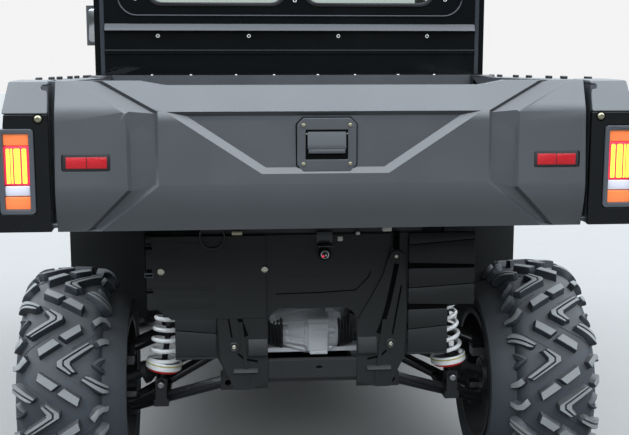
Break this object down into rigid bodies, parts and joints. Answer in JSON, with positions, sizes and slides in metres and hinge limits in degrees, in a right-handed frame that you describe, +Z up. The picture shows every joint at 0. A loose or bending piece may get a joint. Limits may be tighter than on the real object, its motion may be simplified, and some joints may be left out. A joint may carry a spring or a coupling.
{
  "type": "side by side utility vehicle",
  "caption": "Two-seat utility vehicle with a hard cab, doors, tipping cargo bed with drop tailgate, independent suspension and lug tyres.",
  "frame": {"origin": "on the ground under the middle of the vehicle's length and width", "axes": "+Z up, +Y forward along the vehicle, +X to its right side"},
  "size_m": [1.556, 3, 1.9588],
  "materials": {
    "bezel_grey": "satin grey",
    "black_steel": "satin",
    "body_plastic": "grained dark grey moulded plastic",
    "boot_rubber": "matt",
    "cast_alloy": "as cast",
    "frame_paint": "satin black powder coat",
    "gloss_black": "gloss black",
    "guard_plastic": "matt moulded plastic",
    "lamp_glass": "clear lens",
    "lens": "clear coloured lens",
    "red_reflector": "prismatic",
    "rubber_tyre": "matt rubber",
    "seat_vinyl": "grained vinyl",
    "spring_paint": "white gloss",
    "steel": "machined",
    "wheel_paint": "satin black",
    "window_glass": "clear"
  },
  "bodies": {
    "chassis": {"blank_plate": "guard_plastic", "cab_frame": "frame_paint", "cab_rear_panel": "gloss_black", "cowl": "body_plastic", "dampers": "black_steel", "dashboard": "guard_plastic", "engine": "cast_alloy", "fenders": "body_plastic", "floor_tub": "guard_plastic", "frame": "frame_paint", "front_bumper": "frame_paint", "front_gearcase": "cast_alloy", "half_shafts": "boot_rubber", "headlamps": "lamp_glass", "hitch_bar": "frame_paint", "lower_arms": "black_steel", "mirrors": "body_plastic", "muffler": "steel", "nose_panel": "body_plastic", "rear_gearcase": "cast_alloy", "rear_guard": "guard_plastic", "rear_knuckles": "steel", "rear_windows": "window_glass", "roof": "body_plastic", "seat_backs": "seat_vinyl", "seat_cushions": "seat_vinyl", "side_panels": "body_plastic", "skid_plate": "guard_plastic", "springs": "spring_paint", "steering_column": "black_steel", "steering_rack": "steel", "upper_arms": "black_steel", "windscreen": "window_glass"},
    "bed": {"bed_box": "body_plastic", "lamp_panels": "gloss_black", "corner_caps": "body_plastic", "tail_lamps": "bezel_grey", "lamp_lenses": "lens"},
    "tailgate": {"tailgate_panel": "body_plastic", "tailgate_latch": "body_plastic", "reflectors": "red_reflector"},
    "bonnet": {"bonnet": "body_plastic"},
    "left_door": {"door_left": "body_plastic", "door_left_glass": "window_glass"},
    "right_door": {"door_right": "body_plastic", "door_right_glass": "window_glass"},
    "left_knuckle": {"knuckle_left": "steel"},
    "right_knuckle": {"knuckle_right": "steel"},
    "rack": {"tie_rods": "steel"},
    "hand_wheel": {"steering_wheel": "boot_rubber"},
    "front_left_wheel": {"tyre_front_left": "rubber_tyre", "rim_front_left": "wheel_paint"},
    "front_right_wheel": {"tyre_front_right": "rubber_tyre", "rim_front_right": "wheel_paint"},
    "rear_left_wheel": {"tyre_rear_left": "rubber_tyre", "rim_rear_left": "wheel_paint"},
    "rear_right_wheel": {"tyre_rear_right": "rubber_tyre", "rim_rear_right": "wheel_paint"}
  },
  "joints": [
    {"name": "front_left_roll", "type": "hinge", "parent": "left_knuckle", "child": "front_left_wheel", "pos_m": [-0.636, 1.08, 0.333], "axis": [1, 0, 0], "continuous": true},
    {"name": "front_right_roll", "type": "hinge", "parent": "right_knuckle", "child": "front_right_wheel", "pos_m": [0.636, 1.08, 0.333], "axis": [1, 0, 0], "continuous": true},
    {"name": "rear_left_roll", "type": "hinge", "parent": "chassis", "child": "rear_left_wheel", "pos_m": [-0.627, -0.88, 0.333], "axis": [1, 0, 0], "continuous": true},
    {"name": "rear_right_roll", "type": "hinge", "parent": "chassis", "child": "rear_right_wheel", "pos_m": [0.627, -0.88, 0.333], "axis": [1, 0, 0], "continuous": true},
    {"name": "steer_left", "type": "hinge", "parent": "chassis", "child": "left_knuckle", "pos_m": [-0.56, 1.08, 0.333], "axis": [0, 0, 1], "range_deg": [-30, 30]},
    {"name": "steer_right", "type": "hinge", "parent": "chassis", "child": "right_knuckle", "pos_m": [0.56, 1.08, 0.333], "axis": [0, 0, 1], "range_deg": [-30, 30]},
    {"name": "rack_slide", "type": "slide", "parent": "chassis", "child": "rack", "axis": [1, 0, 0], "range_m": [-0.0446, 0.0446]},
    {"name": "hand_wheel_turn", "type": "hinge", "parent": "chassis", "child": "hand_wheel", "pos_m": [-0.3, 0.3, 1.01], "axis": [0, -0.8192, 0.5736], "range_deg": [-270, 270]},
    {"name": "bed_tip", "type": "hinge", "parent": "chassis", "child": "bed", "pos_m": [0, -1.1, 0.846], "axis": [1, 0, 0], "range_deg": [0, 40]},
    {"name": "tailgate_drop", "type": "hinge", "parent": "bed", "child": "tailgate", "pos_m": [0, -1.468, 0.884], "axis": [1, 0, 0], "range_deg": [0, 90]},
    {"name": "bonnet_lift", "type": "hinge", "parent": "chassis", "child": "bonnet", "pos_m": [0, 0.815, 1.106], "axis": [1, 0, 0], "range_deg": [0, 55]},
    {"name": "left_door_swing", "type": "hinge", "parent": "chassis", "child": "left_door", "pos_m": [-0.648, 0.624, 1], "axis": [0, 0, -1], "range_deg": [0, 70]},
    {"name": "right_door_swing", "type": "hinge", "parent": "chassis", "child": "right_door", "pos_m": [0.648, 0.624, 1], "axis": [0, 0, 1], "range_deg": [0, 70]}
  ],
  "couplings": [
    {"joint": "steer_right", "follows": "steer_left", "ratio": 1},
    {"joint": "hand_wheel_turn", "follows": "steer_left", "ratio": 9},
    {"joint": "rack_slide", "follows": "steer_left", "m_per_rad": 0.085}
  ]
}
